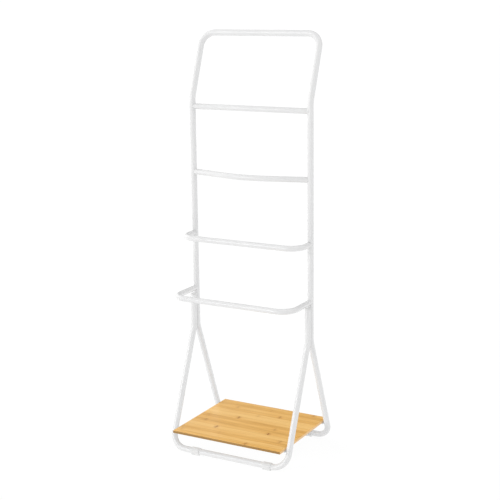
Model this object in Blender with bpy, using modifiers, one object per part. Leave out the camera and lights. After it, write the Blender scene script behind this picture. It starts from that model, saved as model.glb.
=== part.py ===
"""Free-standing towel stand: bent steel tubes, four towel bars and a bamboo shelf.

The origin is on the floor in the middle of the stand's box, +Z is up and -Y is the front.
All sizes are in metres.
"""

import math

import bmesh
import bpy
from mathutils import Euler, Matrix, Vector

# Driving dimensions ---------------------------------------------------------------

FRAME_WIDTH = 0.475             # between the centrelines of the two uprights
TUBE_RADIUS = 0.011             # frame tube, outside
TUBE_WALL = 0.0012
BAR_RADIUS = 0.010              # towel bar tube, outside
BAR_WALL = 0.0012

TOP_HEIGHT = 1.5121             # centreline of the top rail
TOP_LEAN = 0.0832               # top rail behind the uprights
LEAN_BEND_HEIGHT = 1.2855       # where the uprights start to lean back
FRONT_FOOT_REACH = 0.1935       # front floor rail ahead of the uprights
REAR_FOOT_REACH = 0.162         # rear floor rail behind the uprights
LEG_OVERLAP = 0.121             # front leg tube's straight stretch along its upright

STRAIGHT_BAR_HEIGHT = 1.253
BOWED_BAR_HEIGHT = 1.015
SHALLOW_BAR_HEIGHT = 0.7865
DEEP_BAR_HEIGHT = 0.577
SHALLOW_BAR_REACH = 0.098       # bar's front run ahead of the uprights
DEEP_BAR_REACH = 0.165
BOW_APEX_REACH = 0.0596         # where the bowed bar's two straight runs would meet

TOP_BEND_RADIUS = 0.050         # centreline radii of the bends
FOOT_BEND_RADIUS = 0.055
BAR_BEND_RADIUS = 0.055
EASY_BEND_RADIUS = 0.060
BOW_BEND_RADIUS = 0.326

SHELF_TOP_HEIGHT = 0.0832
SHELF_THICKNESS = 0.0095
SHELF_SIDE_CLEARANCE = 0.0041   # board to leg tube, each side
SHELF_FRONT_OVERHANG = 0.0415   # board past the centre of the front legs
SHELF_REAR_OVERHANG = 0.031
SHELF_EDGE_ROUND = 0.0012

TAB_LENGTH = 0.032              # shelf tab, from its leg tube inwards
TAB_WIDTH = 0.024
TAB_THICKNESS = 0.0024
TAB_CORNER_RADIUS = 0.007
TAB_HOLE_INSET = 0.011          # screw centre from the tab's inner end

FOOT_LIFT = 0.0025              # floor to the underside of the floor rails
PAD_WALL = 0.002
PAD_LENGTH = 0.034
PAD_SPACING = 0.296             # between the two pads of a rail
FRONT_PAD_SHIFT = 0.014         # front pair slid along its rail, to +X
PAD_SOLE_WIDTH = 0.016
PAD_SLIT = 0.006                # opening of the clip, on its inner side

SEAM_DROP = 0.030               # seam of the uprights below the shallow bar
SLEEVE_LENGTH = 0.110
SLEEVE_WALL = 0.0015
SLEEVE_SCREW_DROP = 0.025       # its screw below the seam

SCREW_RADIUS = 0.003
SCREW_HEAD_RADIUS = 0.0052
SCREW_HEAD_HEIGHT = 0.0030
SCREW_KEY_RADIUS = 0.0022       # hexagon recess, centre to corner
SCREW_KEY_FLOOR = 0.35          # recess floor, as a share of the head's height
SHORT_SCREW_LENGTH = 0.008
BAR_SCREW_BITE = 0.013          # bar screw inside its end insert
LEG_SCREW_BITE = 0.005          # leg screw past the middle of its barrel nut
LEG_SCREW_INSET = 0.032         # leg screws from the ends of the overlap
INSERT_LENGTH = 0.018
INSERT_RECESS = 0.0006          # insert behind the bar's point of contact
NUT_HEIGHT = 0.014
NUT_CLEARANCE = 0.0008          # barrel nut inside the leg tube

WOOD_SCREW_RADIUS = 0.002
WOOD_SCREW_HEAD_RADIUS = 0.0042
WOOD_SCREW_HEAD_HEIGHT = 0.0024
WOOD_SCREW_BITE = 0.0065        # wood screw inside the board
PILOT_EXTRA_DEPTH = 0.0006

PLUG_HEIGHT = 0.0035            # domed cap of the leg tube's end plug
PLUG_STEM = 0.010
LEG_TOP_CLEARANCE = 0.0075      # plug to the underside of the deep bar

GAP = 0.0003                    # between pieces that touch
END_SINK = 0.003                # bar's raw end past the line where it is coped
HOLE_CLEARANCE = 0.0004         # screw to the edge of its hole, on the radius
BEND_TOLERANCE = 0.0003         # chord error of a faceted bend
WELD_DISTANCE = 0.00001         # points closer than this are one
SMOOTH_ANGLE = math.radians(35)
END_CHAMFER = 0.001             # ends of screws and plugs

TUBE_SIDES = 16
CUTTER_SIDES = 32
HOLE_SIDES = 12
SCREW_SIDES = 10
ROUND_SIDES = 24

# Places worked out from them ------------------------------------------------------

HALF_WIDTH = FRAME_WIDTH / 2
RAIL_HEIGHT = FOOT_LIFT + TUBE_RADIUS
PAD_RADIUS = TUBE_RADIUS + GAP + PAD_WALL
LEG_OFFSET = 2 * TUBE_RADIUS + GAP
LEG_TOP_HEIGHT = DEEP_BAR_HEIGHT - BAR_RADIUS - LEG_TOP_CLEARANCE - PLUG_HEIGHT - GAP
SPLAY_HEIGHT = LEG_TOP_HEIGHT - LEG_OVERLAP
SEAM_HEIGHT = SHALLOW_BAR_HEIGHT - SEAM_DROP
TAB_TOP_HEIGHT = SHELF_TOP_HEIGHT - SHELF_THICKNESS - GAP


def leg_reach(foot_reach, bend_reach, height):
    """Distance from the uprights to a splayed leg's centreline at a height."""
    share = (SPLAY_HEIGHT - height) / (SPLAY_HEIGHT - RAIL_HEIGHT)
    return bend_reach + (foot_reach - bend_reach) * share


TAB_MIDDLE_HEIGHT = TAB_TOP_HEIGHT - TAB_THICKNESS / 2
FRONT_TAB_REACH = leg_reach(FRONT_FOOT_REACH, LEG_OFFSET, TAB_MIDDLE_HEIGHT)
REAR_TAB_REACH = leg_reach(REAR_FOOT_REACH, 0.0, TAB_MIDDLE_HEIGHT)
SHELF_FRONT = FRONT_TAB_REACH + SHELF_FRONT_OVERHANG
SHELF_BACK = REAR_TAB_REACH + SHELF_REAR_OVERHANG
FRONT_REACH = max(SHELF_FRONT, FRONT_FOOT_REACH + PAD_RADIUS)
REAR_REACH = max(SHELF_BACK, REAR_FOOT_REACH + PAD_RADIUS)
UPRIGHT_Y = (FRONT_REACH - REAR_REACH) / 2      # puts the stand's box on the origin

SIDES = {"left": -1, "right": 1}


# Helpers --------------------------------------------------------------------------

def clear_scene():
    """Remove every object of the scene."""
    for item in list(bpy.data.objects):
        bpy.data.objects.remove(item, do_unlink=True)


def new_collection(name):
    """A collection linked to the scene."""
    collection = bpy.data.collections.new(name)
    bpy.context.scene.collection.children.link(collection)
    return collection


def new_material(name, colour, roughness, metallic=0.0):
    """A Principled material; the colour is linear red, green and blue."""
    material = bpy.data.materials.new(name)
    material.use_nodes = True
    shader = material.node_tree.nodes["Principled BSDF"]
    shader.inputs["Base Color"].default_value = (*colour, 1.0)
    shader.inputs["Roughness"].default_value = roughness
    shader.inputs["Metallic"].default_value = metallic
    material.diffuse_color = (*colour, 1.0)
    return material


def inner_flat(radius, wall):
    """Radius that fits inside the flats of a faceted tube."""
    return (radius - wall) * math.cos(math.pi / TUBE_SIDES) - GAP


def rounded_path(corners, radii):
    """Points of a line through the corners with an arc at each inner one."""
    points = [corners[0]]
    for before, corner, after, radius in zip(corners, corners[1:], corners[2:], radii):
        back = (before - corner).normalized()
        ahead = (after - corner).normalized()
        half_angle = back.angle(ahead) / 2
        centre = corner + (back + ahead).normalized() * (radius / math.sin(half_angle))
        spoke = corner + back * (radius / math.tan(half_angle)) - centre
        turn = math.pi - 2 * half_angle
        axis = back.cross(ahead).normalized()
        steps = math.ceil(turn / (2 * math.acos(1 - BEND_TOLERANCE / radius)))
        for step in range(steps + 1):
            points.append(centre + Matrix.Rotation(-turn * step / steps, 3, axis) @ spoke)
    points.append(corners[-1])
    return points


def link_mesh(name, mesh, collection, material=None):
    """An object around a mesh."""
    item = bpy.data.objects.new(name, mesh)
    collection.objects.link(item)
    if material and not mesh.materials:
        mesh.materials.append(material)
    return item


def shade_round(mesh):
    """Smooth shading with sharp edges where the faces turn far."""
    mesh.shade_smooth()
    mesh.set_sharp_from_angle(angle=SMOOTH_ANGLE)


def mesh_of(item):
    """The evaluated mesh of an object, its loose caps welded; the object is removed."""
    graph = bpy.context.evaluated_depsgraph_get()
    mesh = bpy.data.meshes.new_from_object(item.evaluated_get(graph))
    mesh.name = item.name
    welded = bmesh.new()
    welded.from_mesh(mesh)
    bmesh.ops.remove_doubles(welded, verts=welded.verts, dist=WELD_DISTANCE)
    welded.to_mesh(mesh)
    welded.free()
    bpy.data.objects.remove(item, do_unlink=True)
    shade_round(mesh)
    return mesh


def add_cylinder(name, start, end, radius, sides, collection, material=None):
    """A capped cylinder from one point to another."""
    along = end - start
    placed = Matrix.Translation((start + end) / 2) @ along.to_track_quat("Z", "Y").to_matrix().to_4x4()
    shape = bmesh.new()
    bmesh.ops.create_cone(shape, cap_ends=True, segments=sides, radius1=radius, radius2=radius,
                          depth=along.length)
    mesh = bpy.data.meshes.new(name)
    shape.to_mesh(mesh)
    shape.free()
    shade_round(mesh)
    item = link_mesh(name, mesh, collection, material)
    item.matrix_world = placed
    return item


def cut(item, cutter):
    """Take the cutter's shape out of an object."""
    cutter.hide_render = True
    cutter.display_type = "WIRE"
    modifier = item.modifiers.new(cutter.name, "BOOLEAN")
    modifier.operation = "DIFFERENCE"
    modifier.solver = "EXACT"
    modifier.object = cutter


def cut_hole(item, label, start, end, radius):
    """Drill a round hole between two points, its corners clear of the tube's facet edges."""
    drill = add_cylinder(f"{item.name}_{label}", start, end, radius, HOLE_SIDES, cutters)
    drill.matrix_world = drill.matrix_world @ Matrix.Rotation(math.pi / HOLE_SIDES, 4, "Z")
    cut(item, drill)


def add_tube(name, path, radius, wall, material):
    """A hollow tube along a path, open at both ends."""
    curve = bpy.data.curves.new(name, "CURVE")
    curve.dimensions = "3D"
    curve.bevel_depth = radius
    curve.bevel_resolution = (TUBE_SIDES - 4) // 2
    spline = curve.splines.new("POLY")
    spline.points.add(len(path) - 1)
    for point, position in zip(spline.points, path):
        point.co = (*position, 1.0)
    guide = bpy.data.objects.new(name, curve)
    parts.objects.link(guide)
    item = link_mesh(name, mesh_of(guide), parts, material)
    shell = item.modifiers.new("wall", "SOLIDIFY")
    shell.thickness = wall
    shell.offset = -1
    shell.use_even_offset = True
    return item


def turned_mesh(name, profile, sides, material):
    """Mesh of a profile turned about Z; the profile runs from top to bottom at +X."""
    mesh = bpy.data.meshes.new(name)
    mesh.from_pydata([(x, 0, z) for x, z in profile], [(i, i + 1) for i in range(len(profile) - 1)], [])
    item = link_mesh(name, mesh, parts, material)
    turn = item.modifiers.new("turn", "SCREW")
    turn.steps = sides
    turn.render_steps = sides
    turn.use_merge_vertices = True
    turn.merge_threshold = WELD_DISTANCE
    return item


def dome(radius, height):
    """Profile of a low dome, from its top down to its rim at z = 0."""
    return [
        (0, height), (radius * 0.5, height * 0.92), (radius * 0.85, height * 0.65),
        (radius, height * 0.2), (radius, 0),
    ]


def screw_mesh(name, shank_radius, head_radius, head_height, length, material):
    """A round-headed screw with a hexagon recess, its head's underside at z = 0."""
    profile = dome(head_radius, head_height)
    profile += [
        (shank_radius, 0), (shank_radius, END_CHAMFER - length),
        (shank_radius - END_CHAMFER, -length), (0, -length),
    ]
    item = turned_mesh(name, profile, SCREW_SIDES, material)
    floor = Vector((0, 0, head_height * SCREW_KEY_FLOOR))
    top = floor + Vector((0, 0, head_height))
    key = add_cylinder(f"{name}_key", floor, top, SCREW_KEY_RADIUS, 6, cutters)
    cut(item, key)
    mesh = mesh_of(item)
    bpy.data.objects.remove(key, do_unlink=True)
    return mesh


def outline_mesh(name, outlines, thickness, material):
    """A flat plate from closed outlines in its own XY plane, centred on z = 0."""
    curve = bpy.data.curves.new(name, "CURVE")
    curve.dimensions = "2D"
    curve.fill_mode = "BOTH"
    curve.extrude = thickness / 2
    for outline in outlines:
        spline = curve.splines.new("POLY")
        spline.points.add(len(outline) - 1)
        for point, (x, y) in zip(spline.points, outline):
            point.co = (x, y, 0, 1)
        spline.use_cyclic_u = True
    item = bpy.data.objects.new(name, curve)
    parts.objects.link(item)
    mesh = mesh_of(item)
    mesh.materials.append(material)
    return mesh


def arc(centre, radius, start, end, steps):
    """Points of an arc in a plane, angles in radians."""
    angles = [start + (end - start) * step / steps for step in range(steps + 1)]
    return [(centre[0] + radius * math.cos(a), centre[1] + radius * math.sin(a)) for a in angles]


def place(name, mesh, location, rotation=(0, 0, 0)):
    """An object that shows a shared mesh at a place."""
    item = link_mesh(name, mesh, parts)
    item.location = location
    item.rotation_euler = Euler(rotation)
    return item


# Scene and materials --------------------------------------------------------------

clear_scene()
parts = new_collection("towel_stand")
cutters = new_collection("cutters")

white_steel = new_material("white_powder_coat", (0.87, 0.87, 0.86), 0.35)
zinc_steel = new_material("zinc_plated_steel", (0.60, 0.60, 0.61), 0.35, 1.0)
white_plastic = new_material("white_plastic", (0.82, 0.82, 0.81), 0.5)
bamboo = new_material("bamboo", (0.78, 0.48, 0.19), 0.42)


# Frame tubes ----------------------------------------------------------------------

def mirrored(corners):
    """Corner points of the left half followed by their mirror images."""
    return corners + [Vector((-corner.x, corner.y, corner.z)) for corner in reversed(corners)]


def frame_tube(name, left_corners, left_radii):
    """A frame tube that is symmetrical about x = 0."""
    path = rounded_path(mirrored(left_corners), left_radii + left_radii[::-1])
    return add_tube(name, path, TUBE_RADIUS, TUBE_WALL, white_steel)


upper_frame = frame_tube("upper_frame", [
    Vector((-HALF_WIDTH, UPRIGHT_Y, SEAM_HEIGHT + GAP / 2)),
    Vector((-HALF_WIDTH, UPRIGHT_Y, LEAN_BEND_HEIGHT)),
    Vector((-HALF_WIDTH, UPRIGHT_Y + TOP_LEAN, TOP_HEIGHT)),
], [EASY_BEND_RADIUS, TOP_BEND_RADIUS])

rear_leg_frame = frame_tube("rear_leg_frame", [
    Vector((-HALF_WIDTH, UPRIGHT_Y, SEAM_HEIGHT - GAP / 2)),
    Vector((-HALF_WIDTH, UPRIGHT_Y, SPLAY_HEIGHT)),
    Vector((-HALF_WIDTH, UPRIGHT_Y + REAR_FOOT_REACH, RAIL_HEIGHT)),
], [EASY_BEND_RADIUS, FOOT_BEND_RADIUS])

front_leg_frame = frame_tube("front_leg_frame", [
    Vector((-HALF_WIDTH, UPRIGHT_Y - LEG_OFFSET, LEG_TOP_HEIGHT)),
    Vector((-HALF_WIDTH, UPRIGHT_Y - LEG_OFFSET, SPLAY_HEIGHT)),
    Vector((-HALF_WIDTH, UPRIGHT_Y - FRONT_FOOT_REACH, RAIL_HEIGHT)),
], [EASY_BEND_RADIUS, FOOT_BEND_RADIUS])


# Towel bars -----------------------------------------------------------------------


def cope_ends(bar, height):
    """Shape a bar's two ends to the round uprights."""
    reach = Vector((0, 0, 3 * BAR_RADIUS))
    radius = (TUBE_RADIUS + GAP) / math.cos(math.pi / CUTTER_SIDES)
    for label, side in SIDES.items():
        middle = Vector((side * HALF_WIDTH, UPRIGHT_Y, height))
        name = f"{bar.name}_cope_{label}"
        cut(bar, add_cylinder(name, middle - reach, middle + reach, radius, CUTTER_SIDES, cutters))


def add_bar(name, path, height):
    """A towel bar tube coped to the uprights."""
    bar = add_tube(name, path, BAR_RADIUS, BAR_WALL, white_steel)
    cope_ends(bar, height)
    return bar


def u_bar(name, height, reach):
    """A bar that stands forward of the uprights, its arms on their front faces."""
    corners = mirrored([
        Vector((-HALF_WIDTH, UPRIGHT_Y - END_SINK, height)),
        Vector((-HALF_WIDTH, UPRIGHT_Y - reach, height)),
    ])
    return add_bar(name, rounded_path(corners, [BAR_BEND_RADIUS] * 2), height)


bar_end = HALF_WIDTH - END_SINK
straight_bar = add_bar("towel_bar_1_straight", [
    Vector((-bar_end, UPRIGHT_Y, STRAIGHT_BAR_HEIGHT)), Vector((bar_end, UPRIGHT_Y, STRAIGHT_BAR_HEIGHT)),
], STRAIGHT_BAR_HEIGHT)

bowed_bar = add_bar("towel_bar_2_bowed", rounded_path([
    Vector((-bar_end, UPRIGHT_Y, BOWED_BAR_HEIGHT)),
    Vector((0, UPRIGHT_Y - BOW_APEX_REACH, BOWED_BAR_HEIGHT)),
    Vector((bar_end, UPRIGHT_Y, BOWED_BAR_HEIGHT)),
], [BOW_BEND_RADIUS]), BOWED_BAR_HEIGHT)

shallow_bar = u_bar("towel_bar_3_shallow", SHALLOW_BAR_HEIGHT, SHALLOW_BAR_REACH)
deep_bar = u_bar("towel_bar_4_deep", DEEP_BAR_HEIGHT, DEEP_BAR_REACH)


# Sleeves that join the uprights ---------------------------------------------------

SLEEVE_RADIUS = inner_flat(TUBE_RADIUS, TUBE_WALL)
sleeves = {}
for label, side in SIDES.items():
    half = Vector((0, 0, SLEEVE_LENGTH / 2))
    seam = Vector((side * HALF_WIDTH, UPRIGHT_Y, SEAM_HEIGHT))
    sleeves[label] = add_tube(f"upright_sleeve_{label}", [seam - half, seam + half], SLEEVE_RADIUS,
                              SLEEVE_WALL, zinc_steel)


# Bar fixings: a screw from behind, an insert in the bar's end -----------------------

HOLE_RADIUS = SCREW_RADIUS + HOLE_CLEARANCE
BACK = UPRIGHT_Y + TUBE_RADIUS
FRONT = UPRIGHT_Y - TUBE_RADIUS
FACE_BACK = (-math.pi / 2, 0, 0)                # turns a screw's head to +Y
INSERT_START = FRONT - GAP - INSERT_RECESS
BAR_SCREW_LENGTH = BACK + GAP - INSERT_START + BAR_SCREW_BITE

bar_screw = screw_mesh("bar_screw", SCREW_RADIUS, SCREW_HEAD_RADIUS, SCREW_HEAD_HEIGHT,
                       BAR_SCREW_LENGTH, zinc_steel)


def add_insert(name, x, height):
    """A threaded plug inside the end of a bar."""
    start = Vector((x, INSERT_START, height))
    end = start - Vector((0, INSERT_LENGTH, 0))
    insert = add_cylinder(name, start, end, inner_flat(BAR_RADIUS, BAR_WALL), TUBE_SIDES, parts, zinc_steel)
    past = Vector((0, GAP, 0))
    cut_hole(insert, "thread", start + past, end - past, HOLE_RADIUS)


bolted_bars = (
    (3, SHALLOW_BAR_HEIGHT, upper_frame),
    (4, DEEP_BAR_HEIGHT, rear_leg_frame),
)
for number, height, uprights in bolted_bars:
    for label, side in SIDES.items():
        x = side * HALF_WIDTH
        through = (Vector((x, BACK + TUBE_WALL, height)), Vector((x, FRONT - TUBE_WALL, height)))
        cut_hole(uprights, f"bar_{number}_hole_{label}", *through, HOLE_RADIUS)
        if uprights is upper_frame:
            cut_hole(sleeves[label], "bar_hole", *through, HOLE_RADIUS)
        add_insert(f"bar_{number}_insert_{label}", x, height)
        place(f"bar_{number}_screw_{label}", bar_screw, (x, BACK + GAP, height), FACE_BACK)


# Sleeve screws: short, through the back of the lower tube and its sleeve ------------

short_screw = screw_mesh("short_screw", SCREW_RADIUS, SCREW_HEAD_RADIUS, SCREW_HEAD_HEIGHT,
                         SHORT_SCREW_LENGTH, zinc_steel)
for label, side in SIDES.items():
    spot = Vector((side * HALF_WIDTH, BACK + GAP, SEAM_HEIGHT - SLEEVE_SCREW_DROP))
    drill = (spot + Vector((0, GAP, 0)), Vector((spot.x, UPRIGHT_Y, spot.z)))
    cut_hole(rear_leg_frame, f"sleeve_screw_hole_{label}", *drill, HOLE_RADIUS)
    cut_hole(sleeves[label], "lower_hole", *drill, HOLE_RADIUS)
    place(f"sleeve_screw_{label}", short_screw, spot, FACE_BACK)


# Leg fixings: a screw through the upright into a barrel nut in the front leg --------

LEG_Y = UPRIGHT_Y - LEG_OFFSET
NUT_RADIUS = inner_flat(TUBE_RADIUS, TUBE_WALL) - NUT_CLEARANCE
LEG_SCREW_LENGTH = BACK + GAP - LEG_Y + LEG_SCREW_BITE
leg_screw = screw_mesh("leg_screw", SCREW_RADIUS, SCREW_HEAD_RADIUS, SCREW_HEAD_HEIGHT,
                       LEG_SCREW_LENGTH, zinc_steel)
LEG_SCREW_HEIGHTS = {
    "lower": SPLAY_HEIGHT + LEG_SCREW_INSET,
    "upper": LEG_TOP_HEIGHT - LEG_SCREW_INSET,
}


def add_barrel_nut(name, x, height):
    """An upright barrel nut with its thread across it."""
    half = Vector((0, 0, NUT_HEIGHT / 2))
    middle = Vector((x, LEG_Y, height))
    nut = add_cylinder(name, middle - half, middle + half, NUT_RADIUS, TUBE_SIDES, parts, zinc_steel)
    across = Vector((0, TUBE_RADIUS, 0))
    cut_hole(nut, "thread", middle - across, middle + across, HOLE_RADIUS)


for label, side in SIDES.items():
    x = side * HALF_WIDTH
    for level, height in LEG_SCREW_HEIGHTS.items():
        through = (Vector((x, BACK + TUBE_WALL, height)), Vector((x, LEG_Y, height)))
        cut_hole(rear_leg_frame, f"leg_hole_{label}_{level}", *through, HOLE_RADIUS)
        cut_hole(front_leg_frame, f"leg_hole_{label}_{level}", *through, HOLE_RADIUS)
        add_barrel_nut(f"leg_nut_{label}_{level}", x, height)
        place(f"leg_screw_{label}_{level}", leg_screw, (x, BACK + GAP, height), FACE_BACK)


# End plugs of the front leg tubes -------------------------------------------------

plug_stem_radius = inner_flat(TUBE_RADIUS, TUBE_WALL)
plug_profile = dome(TUBE_RADIUS, PLUG_HEIGHT) + [
    (plug_stem_radius, 0), (plug_stem_radius, END_CHAMFER - PLUG_STEM),
    (plug_stem_radius - END_CHAMFER, -PLUG_STEM), (0, -PLUG_STEM),
]
plug = mesh_of(turned_mesh("leg_plug", plug_profile, TUBE_SIDES, white_plastic))
for label, side in SIDES.items():
    place(f"leg_plug_{label}", plug, (side * HALF_WIDTH, LEG_Y, LEG_TOP_HEIGHT + GAP))


# Shelf board ----------------------------------------------------------------------

SHELF_WIDTH = FRAME_WIDTH - 2 * (TUBE_RADIUS + SHELF_SIDE_CLEARANCE)
SHELF_DEPTH = SHELF_FRONT + SHELF_BACK
SHELF_Y = UPRIGHT_Y + (SHELF_BACK - SHELF_FRONT) / 2

board_shape = bmesh.new()
bmesh.ops.create_cube(board_shape, size=1)
bmesh.ops.scale(board_shape, vec=(SHELF_WIDTH, SHELF_DEPTH, SHELF_THICKNESS), verts=board_shape.verts)
board_mesh = bpy.data.meshes.new("shelf_board")
board_shape.to_mesh(board_mesh)
board_shape.free()
board = link_mesh("shelf_board", board_mesh, parts, bamboo)
board.location = (0, SHELF_Y, SHELF_TOP_HEIGHT - SHELF_THICKNESS / 2)
edges = board.modifiers.new("eased_edges", "BEVEL")
edges.width = SHELF_EDGE_ROUND
edges.segments = 2


# Shelf tabs and their screws ------------------------------------------------------

TAB_EDGE_X = HALF_WIDTH - TUBE_RADIUS - GAP
WOOD_HOLE_RADIUS = WOOD_SCREW_RADIUS + HOLE_CLEARANCE
TAB_CORNER_STEPS = 4
QUARTER = math.pi / 2

half_tab = TAB_WIDTH / 2
corner_x = -TAB_LENGTH + TAB_CORNER_RADIUS
corner_y = half_tab - TAB_CORNER_RADIUS
tab_outline = [(0, -half_tab), (0, half_tab)]
tab_outline += arc((corner_x, corner_y), TAB_CORNER_RADIUS, QUARTER, 2 * QUARTER, TAB_CORNER_STEPS)
tab_outline += arc((corner_x, -corner_y), TAB_CORNER_RADIUS, 2 * QUARTER, 3 * QUARTER, TAB_CORNER_STEPS)
tab_hole_x = -TAB_LENGTH + TAB_HOLE_INSET
tab_hole = arc((tab_hole_x, 0), WOOD_HOLE_RADIUS, 0, 4 * QUARTER, HOLE_SIDES)[:-1]
tab = outline_mesh("shelf_tab", [tab_outline, tab_hole], TAB_THICKNESS, white_steel)

wood_screw = screw_mesh("wood_screw", WOOD_SCREW_RADIUS, WOOD_SCREW_HEAD_RADIUS, WOOD_SCREW_HEAD_HEIGHT,
                        TAB_THICKNESS + 2 * GAP + WOOD_SCREW_BITE, zinc_steel)

for row, y in (("front", UPRIGHT_Y - FRONT_TAB_REACH), ("rear", UPRIGHT_Y + REAR_TAB_REACH)):
    for label, side in SIDES.items():
        turn = 0 if side > 0 else math.pi
        place(f"shelf_tab_{row}_{label}", tab, (side * TAB_EDGE_X, y, TAB_MIDDLE_HEIGHT), (0, 0, turn))
        under = Vector((side * (TAB_EDGE_X + tab_hole_x), y, TAB_TOP_HEIGHT - TAB_THICKNESS - GAP))
        place(f"shelf_screw_{row}_{label}", wood_screw, under, (math.pi, 0, 0))
        bite = WOOD_SCREW_BITE + PILOT_EXTRA_DEPTH
        pilot_top = Vector((under.x, y, SHELF_TOP_HEIGHT - SHELF_THICKNESS + bite))
        cut_hole(board, f"pilot_{row}_{label}", under, pilot_top, WOOD_HOLE_RADIUS)


# Foot pads ------------------------------------------------------------------------

def pad_outline():
    """Section of a clip that wraps a rail, flat below and open on its +X side."""
    inner = TUBE_RADIUS + GAP
    slit = math.asin(PAD_SLIT / 2 / inner)
    sole = math.asin(PAD_SOLE_WIDTH / 2 / PAD_RADIUS)
    outline = arc((0, 0), inner, 4 * QUARTER - slit, slit, ROUND_SIDES)
    outline += arc((0, 0), PAD_RADIUS, slit, 3 * QUARTER - sole, ROUND_SIDES)
    outline += [(-PAD_SOLE_WIDTH / 2, -RAIL_HEIGHT), (PAD_SOLE_WIDTH / 2, -RAIL_HEIGHT)]
    outline += arc((0, 0), PAD_RADIUS, 3 * QUARTER + sole, 4 * QUARTER - slit, ROUND_SIDES // 4)
    return outline


pad = outline_mesh("foot_pad", [pad_outline()], PAD_LENGTH, white_plastic)
pad.transform(Euler((QUARTER, 0, QUARTER)).to_matrix().to_4x4())
pad_rows = (
    ("front", UPRIGHT_Y - FRONT_FOOT_REACH, FRONT_PAD_SHIFT, 0),
    ("rear", UPRIGHT_Y + REAR_FOOT_REACH, 0, math.pi),
)
for row, y, shift, turn in pad_rows:
    for label, side in SIDES.items():
        spot = (side * PAD_SPACING / 2 + shift, y, RAIL_HEIGHT)
        place(f"foot_pad_{row}_{label}", pad, spot, (0, 0, turn))
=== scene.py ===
"""Looks of a free-standing towel stand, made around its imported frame.

The stand is bent white tube with four towel bars, a low bamboo board and white plastic
trim. Sizes are in metres, +Z is up and -Y is the front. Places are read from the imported
nodes' boxes, and each class keeps the sizes of the pieces it makes.
"""

import logging
import math
from dataclasses import dataclass, field
from enum import Enum
from typing import Callable, Sequence

import bpy
from mathutils import Matrix, Vector


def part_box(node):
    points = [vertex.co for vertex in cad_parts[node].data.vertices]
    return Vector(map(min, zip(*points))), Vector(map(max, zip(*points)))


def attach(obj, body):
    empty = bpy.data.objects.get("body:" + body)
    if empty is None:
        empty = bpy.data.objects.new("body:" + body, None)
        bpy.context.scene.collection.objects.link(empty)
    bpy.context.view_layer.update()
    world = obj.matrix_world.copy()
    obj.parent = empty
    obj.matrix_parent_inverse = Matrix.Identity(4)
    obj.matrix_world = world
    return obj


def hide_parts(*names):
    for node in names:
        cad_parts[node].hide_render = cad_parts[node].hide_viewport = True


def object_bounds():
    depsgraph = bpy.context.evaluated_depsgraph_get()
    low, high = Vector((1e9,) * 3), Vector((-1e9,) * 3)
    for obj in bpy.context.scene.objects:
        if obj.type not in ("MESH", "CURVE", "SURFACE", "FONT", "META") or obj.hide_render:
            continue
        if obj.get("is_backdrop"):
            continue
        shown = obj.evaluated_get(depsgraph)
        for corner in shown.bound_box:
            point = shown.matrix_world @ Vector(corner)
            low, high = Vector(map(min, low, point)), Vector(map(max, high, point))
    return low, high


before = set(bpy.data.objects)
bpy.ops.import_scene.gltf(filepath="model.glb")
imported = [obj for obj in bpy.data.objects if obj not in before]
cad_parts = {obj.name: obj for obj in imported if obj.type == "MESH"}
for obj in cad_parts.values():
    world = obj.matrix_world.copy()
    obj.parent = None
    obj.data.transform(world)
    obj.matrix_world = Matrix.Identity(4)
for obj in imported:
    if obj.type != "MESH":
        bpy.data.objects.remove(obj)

CAD_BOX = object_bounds()
BODY = "root"
SIDES = {"left": -1.0, "right": 1.0}
CORNERS = tuple((row, label) for row in ("front", "rear") for label in SIDES)
SMOOTH_ANGLE = math.radians(35)
MERGE_REACH = 0.00001
X_AXIS = Vector((1.0, 0.0, 0.0))
Y_AXIS = Vector((0.0, 1.0, 0.0))
Z_AXIS = Vector((0.0, 0.0, 1.0))

log = logging.getLogger("towel_stand")

Piece = bpy.types.Object
Material = bpy.types.Material
Node = bpy.types.Node
Socket = bpy.types.NodeSocket
Triple = tuple[float, float, float]
Colour = Triple
Range = tuple[float, float]


class Slot(Enum):
    """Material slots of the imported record."""

    POWDER_COAT = "white_powder_coat"
    ZINC = "zinc_plated_steel"
    PLASTIC = "white_plastic"
    BAMBOO = "bamboo"


class Carve(Enum):
    """What a tool's shape does to the piece it meets."""

    CUT = "DIFFERENCE"
    ADD = "UNION"


class Grain(Enum):
    """Which side of the bamboo a face shows."""

    FLAT = 0
    EDGE = 1
    END = 2


# --- Bench work ---


def clear() -> None:
    """Leave edit mode and deselect everything."""
    if bpy.context.object and bpy.context.object.mode != "OBJECT":
        bpy.ops.object.mode_set(mode="OBJECT")
    bpy.ops.object.select_all(action="DESELECT")


def take(item: Piece) -> None:
    """Make one object the only selected and active one.

    Args:
        item: The object to work on.
    """
    clear()
    item.select_set(True)
    bpy.context.view_layer.objects.active = item


def edit(item: Piece, everything: bool = False) -> None:
    """Open an object in edit mode with points selectable.

    Args:
        item: The object to open.
        everything: Whether all of it starts selected.
    """
    take(item)
    bpy.ops.object.mode_set(mode="EDIT")
    bpy.ops.mesh.select_mode(type="VERT")
    bpy.ops.mesh.select_all(action="SELECT" if everything else "DESELECT")


def pick(item: Piece, wanted: Callable[[Vector], bool]) -> None:
    """Select an object's points by their place, and leave it in edit mode.

    Args:
        item: The object, its place already in its mesh.
        wanted: Says of a point whether it is selected.
    """
    edit(item)
    bpy.ops.object.mode_set(mode="OBJECT")
    for point in item.data.vertices:
        point.select = wanted(point.co)
    bpy.ops.object.mode_set(mode="EDIT")


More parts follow.
